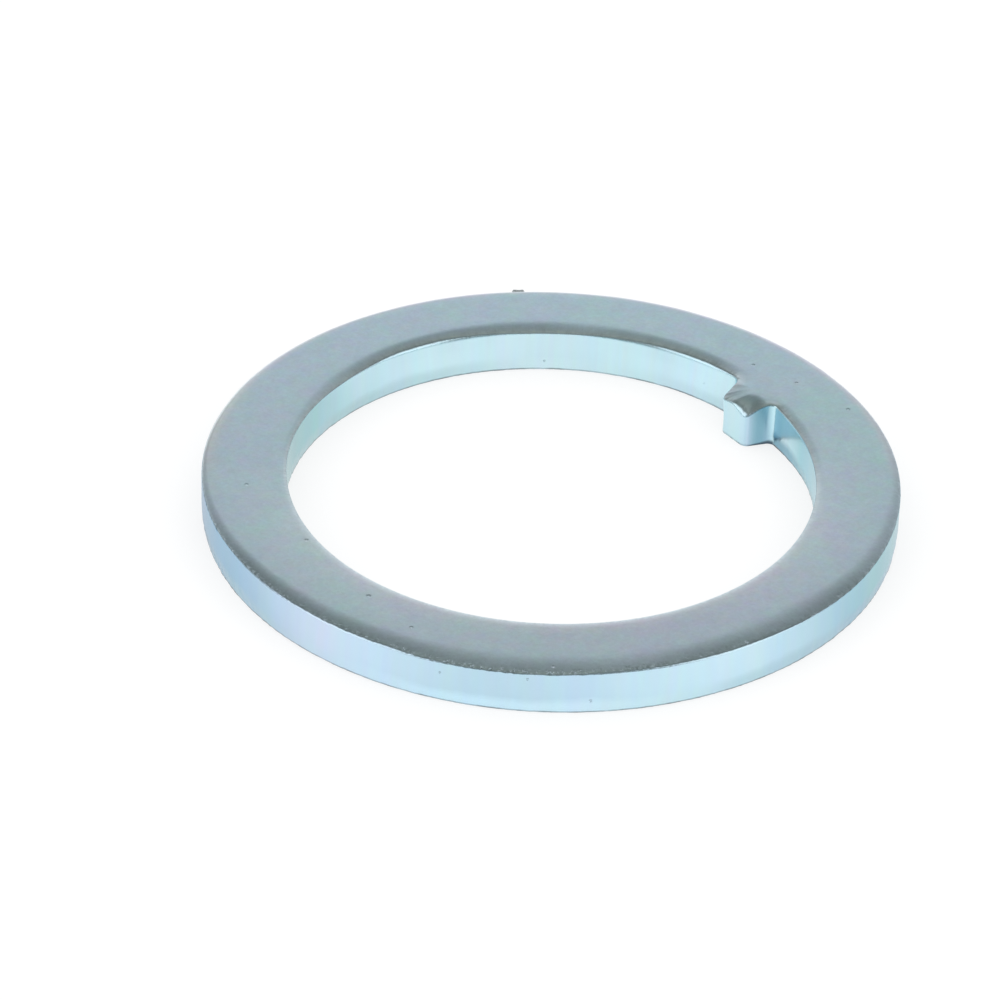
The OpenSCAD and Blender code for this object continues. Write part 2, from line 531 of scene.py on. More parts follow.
# %% [markdown]
# ## Let the lines of the wall wander
#
# The crease, the foot and the line where the metal began to tear are never straight. The crease
# sways slowly and is chipped where it is ragged, the tear line has a long wave with a short ripple
# on it, and the small bevel at the foot comes and goes.

# %% Heights and depths that wander round the outline
crease_sway = 0.9  # share of the roll's depth
tear_wave = 0.9 * MM
tear_ripple = 0.25 * MM
foot_change = 1.2  # share of the bevel
key_bevel = 0.3  # share of the bevel that is left on the key
chip_start, chip_full = -0.03, 0.2  # noise at which a chip starts, and at which it is deepest


def wall_lines(wires, given, said):
    """The heights and depths of this station, by name."""
    def wander(name):
        size, offset = wall_noise[name]
        value = wires.noise(said["edge"], size * MM, wires.math("ADD", given["Seed"], offset))
        return wires.math("SUBTRACT", value, 0.5)

    sway = wires.math("MULTIPLY_ADD", wander("crease sway"), crease_sway, 1.0)
    chips = wires.ramped(wander("chips"), chip_start, chip_full)
    depth = wires.times(said["depth"], sway)
    wave = wires.times(wander("tear wave"), tear_wave)
    tear = wires.math("MULTIPLY_ADD", wander("tear ripple"), tear_ripple, wave)
    bevel = wires.times(given["Foot Bevel"],
                        wires.math("MULTIPLY_ADD", wander("foot bevel"), foot_change, 1.0))
    left = wires.math("MULTIPLY_ADD", said["draw_share"], 1 - key_bevel, key_bevel)
    return {
        "depth": depth,
        "crease": wires.math("SUBTRACT", given["Thickness"], depth),
        "chip": wires.times(chips, said["rag"], given["Chip"]),
        "tear": wires.math("ADD", given["Break Height"], tear),
        "bevel": wires.times(bevel, left),
        "draw": wires.times(given["Break Draw"], said["draw_share"]),
    }


# %% [markdown]
# ## Place every row of the section
#
# Every band's share runs from 0 to 1 while the rows pass through it, so the place of a row is a
# chain of blends from one landmark of the section to the next. The crease is a blend of two blends,
# which is a smooth bend. The roll-over follows a power curve that is level at the flat face.

# %% The chain of blends, from the bottom face up
land_lean = 0.85  # share of the lean that is reached at the top of the land
land_gather = 0.4  # below 1, the rows of the land close up towards its top
draw_power = 1.7  # above 1, the broken zone draws back most just above the foot
roll_gather = 1.4  # above 1, the rows of the roll-over close up towards the crease


def section(wires, given, said, lines, share):
    """Place of each row, from the middle of the bottom face to the middle of the top face."""
    edge, inward, top = said["edge"], said["inward"], given["Thickness"]
    crease, bevel, draw = lines["crease"], lines["bevel"], lines["draw"]

    # landmarks that the section passes
    flat = wires.moved(edge, said["to_flat"])
    middle_low = wires.moved(flat, said["to_middle"])
    middle_high = wires.moved(middle_low, wires.up(top))
    lip = wires.moved(edge, wires.scaled(inward, said["lean"]))
    foot = wires.moved(edge, wires.scaled(inward, wires.math("ADD", draw, bevel)))
    above_foot = wires.moved(edge, wires.scaled(inward, draw), wires.up(bevel))
    land_height = wires.math("SUBTRACT", crease, said["crease_round"])
    land_top = wires.moved(wires.blend(land_lean, edge, lip), wires.up(land_height))
    crease_tip = wires.moved(lip, wires.up(crease))

    # the broken zone draws back more and more on its way down from the tear line
    below = wires.math("SUBTRACT", 1.0, share["broken"])
    drawn_back = wires.times(draw, wires.math("POWER", below, draw_power))
    broken_height = wires.math("ADD", wires.times(below, bevel),
                               wires.times(share["broken"], lines["tear"]))
    on_broken = wires.moved(edge, wires.scaled(inward, drawn_back), wires.up(broken_height))

    lip_to_flat = wires.vector("SUBTRACT", flat, lip)
    round_share = wires.math("DIVIDE", said["crease_round"], wires.vector("LENGTH", lip_to_flat))

    def on_roll(along):
        left = wires.math("SUBTRACT", 1.0, along)
        drop = wires.times(lines["depth"], wires.math("POWER", left, given["Roll Power"]))
        height = wires.math("SUBTRACT", top, drop)
        return wires.moved(lip, wires.scaled(lip_to_flat, along), wires.up(height))

    roll_share = wires.math("POWER", share["roll"], roll_gather)
    roll_along = wires.ramped(roll_share, 0.0, 1.0, round_share, 1.0)

    at = wires.blend(share["bottom"], middle_low, foot)
    at = wires.blend(share["foot"], at, above_foot)
    at = wires.blend(wires.math("GREATER_THAN", share["broken"], 0.0), at, on_broken)
    at = wires.blend(wires.math("POWER", share["land"], land_gather), at, land_top)
    at = wires.blend(share["crease"],
                     wires.blend(share["crease"], at, crease_tip),
                     wires.blend(share["crease"], crease_tip, on_roll(round_share)))
    at = wires.blend(wires.math("GREATER_THAN", share["roll"], 0.0), at, on_roll(roll_along))
    return wires.blend(share["top"], at, middle_high)


# %% [markdown]
# ## Tear and chip the wall, and raise the burr
#
# The broken zone was torn and not cut, so noise roughens it between its two lines. Chips bite into
# the crease, and the burr stands out from it. Both fade quickly on their way along the roll-over.

# %% Roughen the section
crest_power = 12.0
chip_inward = 0.6  # share of a chip's depth that goes into the metal
burr_upward = 0.45  # share of the burr's length that goes up


def roughened(wires, given, said, lines, share, at):
    """The rows with their tears, chips and burr, and the two masks of what was torn and raised."""
    inward = said["inward"]
    tearing = wires.times(share["foot"], wires.ramped(share["broken"], 0.5, 1.0, 1.0, 0.0))
    torn = wires.noise(at, torn_noise_size, given["Seed"], detail=4.0)
    torn = wires.times(wires.math("SUBTRACT", torn, 0.5), tearing, given["Tear"])
    at = wires.moved(at, wires.scaled(inward, torn))

    crest = wires.math("POWER", wires.math("SUBTRACT", 1.0, share["roll"]), crest_power)
    crest = wires.times(crest, share["crease"])
    bite = wires.times(crest, lines["chip"])
    flap = wires.times(wires.math("SQRT", crest), said["burr"])
    sideways = wires.math("MULTIPLY_ADD", bite, chip_inward, wires.times(flap, -1.0))
    upward = wires.math("MULTIPLY_ADD", flap, burr_upward, wires.times(bite, -1.0))
    return wires.moved(at, wires.scaled(inward, sideways), wires.up(upward)), tearing, flap


# %% [markdown]
# ## Put the wall together
#
# The group joins these steps, moves the grid's points to their places, and stores masks on them. The
# finish will read those masks: which points are wall, which were torn or rolled, and which are key.

# %% Group: one pressed wall


def pressed_wall():
    """Node group that lofts one pressed wall along an outline."""
    tree = bpy.data.node_groups.new("pressed_wall", "GeometryNodeTree")
    given, result = sockets(tree, {
        "Outline": (GEOMETRY, None), "Bore Side": (FLOAT, 0.0), "Roll Power": (FLOAT, 2.0),
        "Seed": (FLOAT, 0.0), **wall_sizes}, {"Wall": (GEOMETRY, None)})
    wires = Wiring(tree)
    shape, station, row = station_grid(wires, given["Stations"])
    said = read_outline(wires, given["Outline"], station)
    share = band_shares(wires, row)
    lines = wall_lines(wires, given, said)
    at = section(wires, given, said, lines, share)
    at, tearing, flap = roughened(wires, given, said, lines, share, at)

    masks = {
        "wall": wires.times(share["foot"], wires.math("SUBTRACT", 1.0, share["crease"])),
        "broken": tearing,
        "rolled": wires.times(share["crease"], wires.math("SUBTRACT", 1.0, share["roll"])),
        "ragged": said["rag"],
        "bore_side": given["Bore Side"],
        "key_share": said["key_share"],
        "on_key": said["on_key"],
        "nib": wires.math("GREATER_THAN", flap, 0.01 * MM),
    }
    for name, value in masks.items():
        shape = wires.add("GeometryNodeStoreNamedAttribute", data_type="FLOAT", domain="POINT",
                          named={"Geometry": shape, "Name": name, "Value": value})
    shape = wires.add("GeometryNodeSetPosition", named={"Geometry": shape, "Position": at})
    wires.feed(result["Wall"], shape)
    return tree


wall_tree = pressed_wall()
print(f"the wall's tree has {len(wall_tree.nodes)} nodes")

# %% [markdown]
# ## Join the two walls into one washer
#
# The rim's wall and the bore's wall meet on the middle line of both faces. The bore's wall has its
# outside on the other hand, so its faces are flipped, and then the points that coincide are merged:
# the washer is one closed skin, as the real one is one piece of steel. The finish is set in the
# tree as well.

# %% Tree: the whole washer
zinc_plate = bpy.data.materials.new("zinc_plate")
OBJECT = "NodeSocketObject"
rim_power, bore_power = 2.0, 1.8
bore_seed = 20.0  # keeps the noise of the two walls apart
merge_distance = 0.001 * MM


def washer_shape():
    """Node tree that lofts both walls and joins them."""
    tree = bpy.data.node_groups.new("washer_shape", "GeometryNodeTree")
    given, result = sockets(tree, {
        "Geometry": (GEOMETRY, None), "Rim Outline": (OBJECT, None), "Bore Outline": (OBJECT, None),
        "Seed": (FLOAT, 0.0), **wall_sizes}, {"Geometry": (GEOMETRY, None)})
    wires = Wiring(tree)

    def wall(outline, bore_side, roll_power):
        shape = wires.add("GeometryNodeObjectInfo", given[outline], out="Geometry")
        seed = wires.math("ADD", given["Seed"], bore_seed * bore_side)
        return wires.add("GeometryNodeGroup", node_tree=wall_tree, named={
            "Outline": shape, "Bore Side": bore_side, "Roll Power": roll_power, "Seed": seed,
            **{name: given[name] for name in wall_sizes}})

    rim_wall = wall("Rim Outline", 0.0, rim_power)
    bore_wall = wires.add("GeometryNodeFlipFaces", wall("Bore Outline", 1.0, bore_power))
    join = tree.nodes.new("GeometryNodeJoinGeometry")
    for half in (rim_wall, bore_wall):
        tree.links.new(half, join.inputs[0])
    merged = wires.add("GeometryNodeMergeByDistance", join.outputs[0],
                       named={"Distance": merge_distance})
    smooth = wires.add("GeometryNodeSetShadeSmooth", merged)
    real = wires.add("GeometryNodeRealizeInstances", smooth)
    wires.feed(result["Geometry"], wires.add("GeometryNodeSetMaterial", real,
                                             named={"Material": zinc_plate}))
    return tree


# %% [markdown]
# ## Grow the washer
#
# The tree runs on an empty mesh. Its result is kept as a plain mesh, so nothing of the tree is left
# live, and the plans have done their work. The washer then takes the place of the CAD solid, stays
# on the one body that there is, and wears the zinc.

# %% The washer as a plain mesh


def grown(name, tree, values):
    """Runs a tree on an empty mesh and keeps the result as a plain mesh object."""
    grower = bpy.data.objects.new(name + "_tree", bpy.data.meshes.new(name + "_tree"))
    scene.collection.objects.link(grower)
    modifier = grower.modifiers.new(name, "NODES")
    modifier.node_group = tree
    for item in tree.interface.items_tree:
        if item.item_type == "SOCKET" and item.name in values:
            modifier[item.identifier] = values[item.name]
    evaluated = grower.evaluated_get(bpy.context.evaluated_depsgraph_get())
    piece = bpy.data.objects.new(name, bpy.data.meshes.new_from_object(evaluated))
    scene.collection.objects.link(piece)
    bpy.data.objects.remove(grower)
    return piece


washer = grown("headset_washer", washer_shape(), {
    "Rim Outline": rim_plan, "Bore Outline": bore_plan, "Stations": float(stations),
    "Thickness": thickness, "Break Height": 1.2 * MM, "Break Draw": 0.1 * MM,
    "Foot Bevel": 0.07 * MM, "Tear": 0.14 * MM, "Chip": 0.16 * MM, "Seed": 4.0,
})
for plan in (rim_plan, bore_plan):
    bpy.data.objects.remove(plan)
triangles = sum(len(face.vertices) - 2 for face in washer.data.polygons)
print(f"{triangles} triangles, box in mm {[round(c / MM, 2) for c in washer.dimensions]}")

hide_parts("washer")
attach(washer, "root")

# %% [markdown]
# ## The camera
#
# The washer is seen from above its key's left side, half way between a side view and a plan. A long
# lens from a third of a metre keeps the ring almost free of perspective.

# %% Camera
camera_azimuth = math.radians(-37.96)
camera_elevation = math.radians(33.512)
camera_roll = math.radians(1.932)
camera_offset = Vector((0.14315, 0.031626, 16.25195)) * rim_r  # left, up and back

level = Vector((math.cos(camera_azimuth), math.sin(camera_azimuth), 0))
back = Vector((
    math.sin(camera_azimuth) * math.cos(camera_elevation),
    -math.cos(camera_azimuth) * math.cos(camera_elevation),
    math.sin(camera_elevation),
))
upright = back.cross(level)
right = math.cos(camera_roll) * level + math.sin(camera_roll) * upright
up = math.cos(camera_roll) * upright - math.sin(camera_roll) * level

camera = bpy.data.objects.new("camera", bpy.data.cameras.new("camera"))
camera.data.lens = 203.5  # millimetres
camera.data.clip_start = 0.01
turn = Matrix((right, up, back)).transposed().to_4x4()
spot = camera_offset.z * back - camera_offset.x * right + camera_offset.y * up
camera.matrix_world = Matrix.Translation(spot) @ turn
scene.collection.objects.link(camera)
scene.camera = camera
scene.view_settings.view_transform = "Standard"
print("the camera stands", round(spot.length / MM), "mm away")

# %% [markdown]
# ## The finish: bright zinc plate
#
# Zinc plate is passivated in a bath that leaves a film thinner than a wave of light. The film's
# thickness drifts over the part, so its colour drifts too: steel blue, lavender, pale cyan and teal
# on the smooth walls, and a calmer blue grey on the faces, which kept the satin grain of the rolled
# strip. The metal under it is one metal everywhere, so this is one material. Its colour comes from
# where a point lies on the washer, and from the masks that the loft stored in the mesh. Part of it
# is painted light: shade and reflections seen from the camera's side are painted into the colour.

# %% Colours and ramps


def paint(red, green, blue):
    """Linear colour of a screen colour given from 0 to 255."""
    linear = [((c / 255 + 0.055) / 1.055) ** 2.4 for c in (red, green, blue)]
    return (*linear, 1.0)


class ShaderWiring(Wiring):
    """The same helper with the nodes that only a finish needs."""

    def tint(self, share, first, second, mode="MIX"):
        node = self.tree.nodes.new("ShaderNodeMix")
        node.data_type = "RGBA"
        node.blend_type = mode
        for socket, source in zip((node.inputs[0], node.inputs[6], node.inputs[7]),
                                  (share, first, second)):
            self.feed(socket, source)
        return node.outputs[2]

    def ramp(self, value, stops):
        """Colour ramp from place 0 to place 1. Its stops are (place, screen colour or grey)."""
        node = self.tree.nodes.new("ShaderNodeValToRGB")
        elements = node.color_ramp.elements
        for place, _ in stops[1:-1]:
            elements.new(place)
        for element, (_, colour) in zip(elements, stops):
            grey = isinstance(colour, int)
            element.color = paint(colour, colour, colour) if grey else paint(*colour)
        self.feed(node.inputs[0], value)
        return node.outputs[0]

    def mask(self, name):
        return self.add("ShaderNodeAttribute", attribute_name=name, out="Fac")


def shader_group(name, inputs, outputs):
    tree = bpy.data.node_groups.new(name, "ShaderNodeTree")
    given, result = sockets(tree, inputs, outputs)
    return ShaderWiring(tree), given, result


print("screen grey 128 is", round(paint(128, 128, 128)[0], 3), "in linear light")

# %% [markdown]
# ## Where a point lies on the ring
#
# The colours are laid out round the bore's axis, so the first group turns a place into an angle.
# It gives the angle as a share of one turn, starting at the key, and the radius and height as well.
# A little noise bends the angle, so that no colour ends on a straight line.

# %% Group: place on the ring
COLOUR, VECTOR = "NodeSocketColor", "NodeSocketVector"
bend_size = 9 * MM


def ring_place():
    wires, given, result = shader_group("ring_place", {"Drift": (FLOAT, 0.0)}, {
        "Turn": (FLOAT, None), "Radius": (FLOAT, None), "Height": (FLOAT, None),
        "Place": (VECTOR, None)})
    place = wires.add("ShaderNodeTexCoord", out="Object")
    split = wires.add("ShaderNodeSeparateXYZ", place).node
    across, along, height = split.outputs[1], split.outputs[0], split.outputs[2]
    turn = wires.math("DIVIDE", wires.math("ARCTAN2", across, along), math.tau)
    bend = wires.math("SUBTRACT", wires.noise(place, bend_size, 3.0), 0.5)
    turn = wires.math("ADD", turn, wires.times(bend, given["Drift"]))
    wires.feed(result["Turn"], wires.math("FRACT", turn))
    flat = wires.add("ShaderNodeCombineXYZ", along, across)
    wires.feed(result["Radius"], wires.vector("LENGTH", flat))
    wires.feed(result["Height"], height)
    wires.feed(result["Place"], place)
    return wires.tree


ring_tree = ring_place()
print("ring_place gives", ", ".join(item.name for item in ring_tree.interface.items_tree
                                    if item.in_out == "OUTPUT"))

# %% [markdown]
# ## The film on the walls
# Each wall has a run of colours round the ring, and its broken zone has a run of its own, because
# torn metal scatters the light. The key has one more, laid out along its outline. A colour ramp
# holds such a run well: its place is the share of a turn, and the colours between stops blend. The
# runs hold painted reflection and shade as well as the film's colour: the rim's wall turns dark near
# 0.42 of a turn, partly as painted shade, the key's right flank and the torn zone beside its right
# fillet are painted darker, and the bore's smooth wall beside that fillet has a painted highlight.

# %% Film colours with painted shade and highlight, by turn from the key and by share of the key's outline
# rim: the dark stops near 0.42, here and in the torn run, are partly painted shade
rim_film_and_shade = [(0.00, (188, 220, 236)), (0.20, (172, 208, 226)), (0.36, (168, 203, 222)),
            (0.42, (100, 150, 183)), (0.465, (148, 187, 211)), (0.51, (188, 211, 231)),
            (0.54, (203, 221, 240)), (0.565, (197, 224, 242)), (0.61, (188, 217, 233)),
            (0.66, (191, 221, 237)), (0.71, (199, 229, 243)), (0.745, (202, 229, 242)),
            (0.79, (168, 205, 220)), (0.83, (146, 194, 202)), (0.88, (138, 186, 196)),
            (1.00, (188, 220, 236))]
rim_torn_film_and_shade = [(0.00, (184, 214, 228)), (0.36, (160, 194, 212)), (0.42, (96, 136, 166)),
                 (0.465, (156, 190, 206)), (0.53, (200, 221, 238)), (0.60, (203, 235, 252)),
                 (0.66, (207, 236, 248)), (0.72, (199, 229, 240)), (0.76, (180, 210, 223)),
                 (0.82, (158, 191, 206)), (0.88, (158, 192, 206)), (1.00, (184, 214, 228))]
# bore: the bright stop at 0.962, beside the key's right fillet, is a painted highlight
bore_film_and_highlight = [(0.00, (198, 228, 236)), (0.03, (203, 234, 245)), (0.12, (200, 230, 239)),
             (0.22, (203, 233, 241)), (0.28, (190, 222, 231)), (0.32, (160, 201, 207)),
             (0.355, (143, 188, 193)), (0.39, (138, 182, 188)), (0.50, (178, 214, 226)),
             (0.88, (146, 195, 208)), (0.935, (154, 204, 216)), (0.962, (216, 242, 248)),
             (1.00, (190, 222, 236))]
# torn bore: the dark stops from 0.962 to 1, beside the key's right fillet, are painted shade
bore_torn_film_and_shade = [(0.00, (188, 220, 230)), (0.045, (196, 226, 236)), (0.15, (207, 236, 243)),
                  (0.20, (195, 225, 232)), (0.25, (185, 215, 222)), (0.32, (172, 203, 209)),
                  (0.36, (158, 192, 196)), (0.50, (176, 208, 220)), (0.88, (156, 189, 198)),
                  (0.925, (158, 198, 208)), (0.962, (134, 178, 195)), (1.00, (126, 168, 186))]
# key: the dark stops from 0.145 to 0.25 paint shade on the key's right flank
key_film_and_shade = [(0.00, (196, 234, 244)), (0.03, (208, 240, 247)), (0.06, (194, 230, 242)),
            (0.09, (180, 217, 231)), (0.145, (152, 191, 210)), (0.18, (138, 183, 201)),
            (0.22, (139, 182, 200)), (0.25, (151, 191, 207)), (0.285, (174, 205, 223)),
            (0.315, (190, 217, 234)), (0.345, (187, 219, 234)), (0.38, (196, 226, 239)),
            (0.50, (200, 232, 238)), (0.60, (196, 229, 236)), (1.00, (200, 230, 238))]
print(sum(map(len, (rim_film_and_shade, rim_torn_film_and_shade, bore_film_and_highlight, bore_torn_film_and_shade, key_film_and_shade))), "film colours")

# %% [markdown]
# ## The film on the faces
#
# The faces are calmer. One run of colours crosses the whole washer, from the camera's side to the
# far side, and it is painted reflection: the far side is painted a little bluer and brighter. A few
# soft tints lie over it. Each tint has a strength by turn, as a screen grey from 0 to 255, and a band
# between two radii where it shows: the half beside the bore, the lips of the bore and the rim, and
# the outermost brim.

# %% Colour across the washer, and the tints over it
# painted reflection: this run goes from the camera's side of the washer to the far side
across_film_and_reflection = [(0.0, (201, 220, 231)), (0.3, (202, 222, 234)), (0.6, (200, 224, 235)),
               (1.0, (201, 225, 238))]
across_way = (0.62, 0.79)
blotch_size = 6 * MM
blotch_shift = 20 * MM
face_bands = {  # radius where the fade starts, radius where it ends, and the strength at both
    "bore half": (bore_r + 0.4 * MM, bore_r + 4 * MM, 1.0, 0.0),
    "bore lip": (bore_r + 0.5 * MM, bore_r + 1.5 * MM, 1.0, 0.0),
    "rim lip": (rim_r - 1.3 * MM, rim_r - 0.4 * MM, 0.0, 1.0),
    "brim": (rim_r - 0.8 * MM, rim_r - 0.35 * MM, 0.0, 1.0),
}
face_tints = [  # strength by turn, band, and the tint: one colour, or a run by turn
    ([(0.0, 0), (0.57, 0), (0.66, 190), (0.73, 190), (0.80, 0), (1.0, 0)],
     "bore half", (208, 212, 229)),
    ([(0.0, 0), (0.38, 0), (0.46, 200), (0.55, 200), (0.64, 90), (0.74, 90), (0.79, 190), (0.86, 190),
      (0.94, 0), (1.0, 0)],
     "bore half", (222, 240, 247)),
    ([(0.0, 0), (0.44, 0), (0.54, 200), (0.80, 200), (0.90, 0), (1.0, 0)],
     "bore lip", (222, 228, 236)),
    ([(0.0, 0), (0.31, 0), (0.345, 200), (0.385, 200), (0.43, 0), (1.0, 0)],
     "rim lip", (212, 218, 219)),
    ([(0.0, 180), (0.34, 200), (0.4, 0), (0.88, 0), (0.93, 180), (1.0, 180)],
     "brim", [(0.0, (228, 218, 228)), (0.25, (230, 220, 228)), (0.3, (238, 246, 244)),
              (1.0, (228, 218, 228))]),
]
# the second colour is for torn metal on a ragged crease, its paleness partly a painted glint
lip_tint, torn_metal_and_glint = paint(232, 247, 254), paint(226, 246, 251)
print(len(face_tints), "tints on the faces in", len(face_bands), "bands")

# %% [markdown]
# ## Lay the colours together
#
# The group first picks the wall's colour, from the rim or the bore and from smooth or torn metal.
# Then it lays the tints over the faces, and the mask of the wall chooses between the two. The bore's
# roll-over is paler than the rest of the face, and so is the torn metal along a ragged crease, whose
# pale patches are partly painted glints.

# %% Group: colour of the film


# the colour group lays the film's colours together with the painted reflection and shade they carry
def film_and_painted_light():
    wires, given, result = shader_group("film_and_painted_light", {
        "Place": (VECTOR, None), "Turn": (FLOAT, 0.0), "Radius": (FLOAT, 0.0),
        "Bore Side": (FLOAT, 0.0), "Wall": (FLOAT, 0.0), "Broken": (FLOAT, 0.0),
        "Rolled": (FLOAT, 0.0), "Ragged": (FLOAT, 0.0), "Key Share": (FLOAT, 0.0),
        "On Key": (FLOAT, 0.0)}, {"Colour": (COLOUR, None)})
    place, turn, rolled = given["Place"], given["Turn"], given["Rolled"]

    rim = wires.tint(given["Broken"], wires.ramp(turn, rim_film_and_shade), wires.ramp(turn, rim_torn_film_and_shade))
    bore = wires.tint(given["Broken"], wires.ramp(turn, bore_film_and_highlight), wires.ramp(turn, bore_torn_film_and_shade))
    bore = wires.tint(given["On Key"], bore, wires.ramp(given["Key Share"], key_film_and_shade))
    wall = wires.tint(given["Bore Side"], rim, bore)

    # painted reflection across the faces, from the camera's side to the far side
    split = wires.add("ShaderNodeSeparateXYZ", place).node
    across = wires.math("ADD", wires.times(split.outputs[0], across_way[0]),
                        wires.times(split.outputs[1], across_way[1]))
    blotch = wires.math("SUBTRACT", wires.noise(place, blotch_size, 1.0), 0.5)
    across = wires.math("MULTIPLY_ADD", blotch, blotch_shift, across)
    face = wires.ramp(wires.ramped(across, -rim_r, rim_r), across_film_and_reflection)
    fades = {name: wires.ramped(given["Radius"], *band) for name, band in face_bands.items()}
    for strength, band, colour in face_tints:
        hue = wires.ramp(turn, colour) if isinstance(colour, list) else paint(*colour)
        share = wires.times(wires.ramp(turn, strength), fades[band])
        face = wires.tint(share, face, hue)

    inside = wires.times(wires.ramped(rolled, 0.35, 0.9), given["Bore Side"], 0.8)
    face = wires.tint(inside, face, lip_tint)
    # torn metal along a ragged crease, painted paler in patches that partly stand for glints
    torn = wires.ramped(wires.noise(place, 0.3 * MM, 9.0, detail=3.0), 0.35, 0.6)
    torn = wires.times(torn, wires.ramped(rolled, 0.7, 0.95), given["Ragged"])
    face = wires.tint(torn, face, torn_metal_and_glint)
    wires.feed(result["Colour"], wires.tint(given["Wall"], face, wall))
    return wires.tree


film_and_light_tree = film_and_painted_light()
print(len(film_and_light_tree.nodes), "nodes colour the film")

# %% [markdown]
# ## Small variation in the film
#
# Nothing about a plated part is even. The film on the faces is mottled, and the film on the walls
# runs in faint upright streaks, because the walls were wiped by the tool. Both come from noise whose
# three channels differ a little, so the hue drifts and not only the brightness. The streaks use noise
# that is stretched along the way the metal was drawn: up the walls, and out along the roll-overs.

# %% Group: noise stretched along the drawing direction


def drawn_noise():
    wires, given, result = shader_group("drawn_noise", {
        "Place": (VECTOR, None), "Width": (FLOAT, 0.0002), "Length": (FLOAT, 0.002),
        "Seed": (FLOAT, 0.0)}, {"Value": (FLOAT, None), "Colour": (COLOUR, None)})
    split = wires.add("ShaderNodeSeparateXYZ", given["Place"]).node
    flat = wires.add("ShaderNodeCombineXYZ", split.outputs[0], split.outputs[1])
    around = wires.scaled(wires.vector("NORMALIZE", flat), bore_r)
    drawn = wires.math("SUBTRACT", wires.vector("LENGTH", flat), split.outputs[2])
    squeeze = wires.math("DIVIDE", given["Width"], given["Length"])
    spot = wires.moved(around, wires.up(wires.times(drawn, squeeze)))
    noise = wires.noise(spot, given["Width"], given["Seed"]).node
    wires.feed(result["Value"], noise.outputs[0])
    wires.feed(result["Colour"], noise.outputs[1])
    return wires.tree


drawn_tree = drawn_noise()


def streaks(wires, place, width, length, seed, out="Value"):
    """Drawn noise. Its width and length are in millimetres."""
    return wires.add("ShaderNodeGroup", node_tree=drawn_tree, out=out, named={
        "Place": place, "Width": width * MM, "Length": length * MM, "Seed": seed})


print(len(drawn_tree.nodes), "nodes make the drawn noise")

# %% [markdown]
# ## Mottle and streaks as one factor
#
# The variation is a colour near 1 that the film's colour is multiplied by. Blotches of four sizes
# mottle the faces, and two wider ones let them drift between a rosy and a greenish grey. The
# roll-overs are hatched, with short streaks that change the brightness alone.

# %% Group: a colour factor near 1 that mottles the faces and streaks the walls
mottles = [  # size in millimetres, amount, seed, and the noise's grey (0) or coloured (1) output
    (0.14, 0.14, 1.0, 0), (0.32, 0.16, 2.0, 0), (0.7, 0.18, 3.0, 1), (1.6, 0.11, 6.0, 0),
]
drifts = [(2.2, 4.0), (5.5, 5.0)]  # size in millimetres, and seed
rosy_grey, green_grey = (1.018, 0.975, 1.018), (0.976, 1.02, 0.992)


def film_variation():
    wires, given, result = shader_group("film_variation", {
        "Place": (VECTOR, None), "Wall": (FLOAT, 0.0), "Rolled": (FLOAT, 0.0)},
        {"Factor": (COLOUR, None)})
    place = given["Place"]

    def near_one(colour, amount):
        spread = wires.vector("SUBTRACT", colour, (0.5, 0.5, 0.5))
        return wires.vector("ADD", wires.scaled(spread, amount), (1.0, 1.0, 1.0))

    def product(factors):
        whole = factors[0]
        for factor in factors[1:]:
            whole = wires.vector("MULTIPLY", whole, factor)
        return whole

    blotches = [near_one(wires.noise(place, size * MM, seed, out=out), amount)
                for size, amount, seed, out in mottles]
    for size, seed in drifts:
        share = wires.ramped(wires.noise(place, size * MM, seed), 0.35, 0.65)
        blotches.append(wires.blend(share, rosy_grey, green_grey))
    streak = product([near_one(streaks(wires, place, 0.3, 4.0, 1.0, "Colour"), 0.07),
                      near_one(streaks(wires, place, 1.1, 7.0, 2.0, "Colour"), 0.12)])
    hatch = product([near_one(streaks(wires, place, 0.14, 0.25, 3.0), 0.45),
                     near_one(streaks(wires, place, 0.45, 0.6, 4.0), 0.35)])
    factor = wires.tint(given["Wall"], product(blotches), streak)
    wires.feed(result["Factor"], wires.tint(given["Rolled"], factor, hatch))
    return wires.tree


variation_tree = film_variation()
print(len(variation_tree.nodes), "nodes vary the film")

# %% [markdown]
# ## Grain, hatch and marks
#
# These are too fine to model, so they are heights for a bump. The faces keep the satin grain of the
# rolled strip. The roll-overs are hatched where the metal was drawn over the tool, and flecked with
# tiny pits where the crease tore. A few single marks come from handling.

# %% Group: fine relief in metres
face_height = thickness / MM
rim_mm, bore_mm = rim_r / MM, bore_r / MM
marks = [  # angle, radius, height and size; lengths in millimetres
    (195, 19.1, face_height, 0.20), (172, 18.2, face_height, 0.17), (346, 21.8, face_height, 0.17),
    (207, 20.5, face_height, 0.16), (266, 22.6, face_height - 0.05, 0.18),
    (233, 22.3, face_height, 0.16), (150, 20.2, face_height, 0.15), (8, 19.6, face_height, 0.16),
    (358, 20.4, face_height, 0.15), (229, rim_mm, 2.6, 0.10), (239, rim_mm, 1.0, 0.13),
    (215, rim_mm, 2.2, 0.09), (16, bore_mm, 1.5, 0.10), (54, bore_mm, 0.75, 0.12),
]
mark_depth = 0.06 * MM
fleck_depth = 0.07 * MM


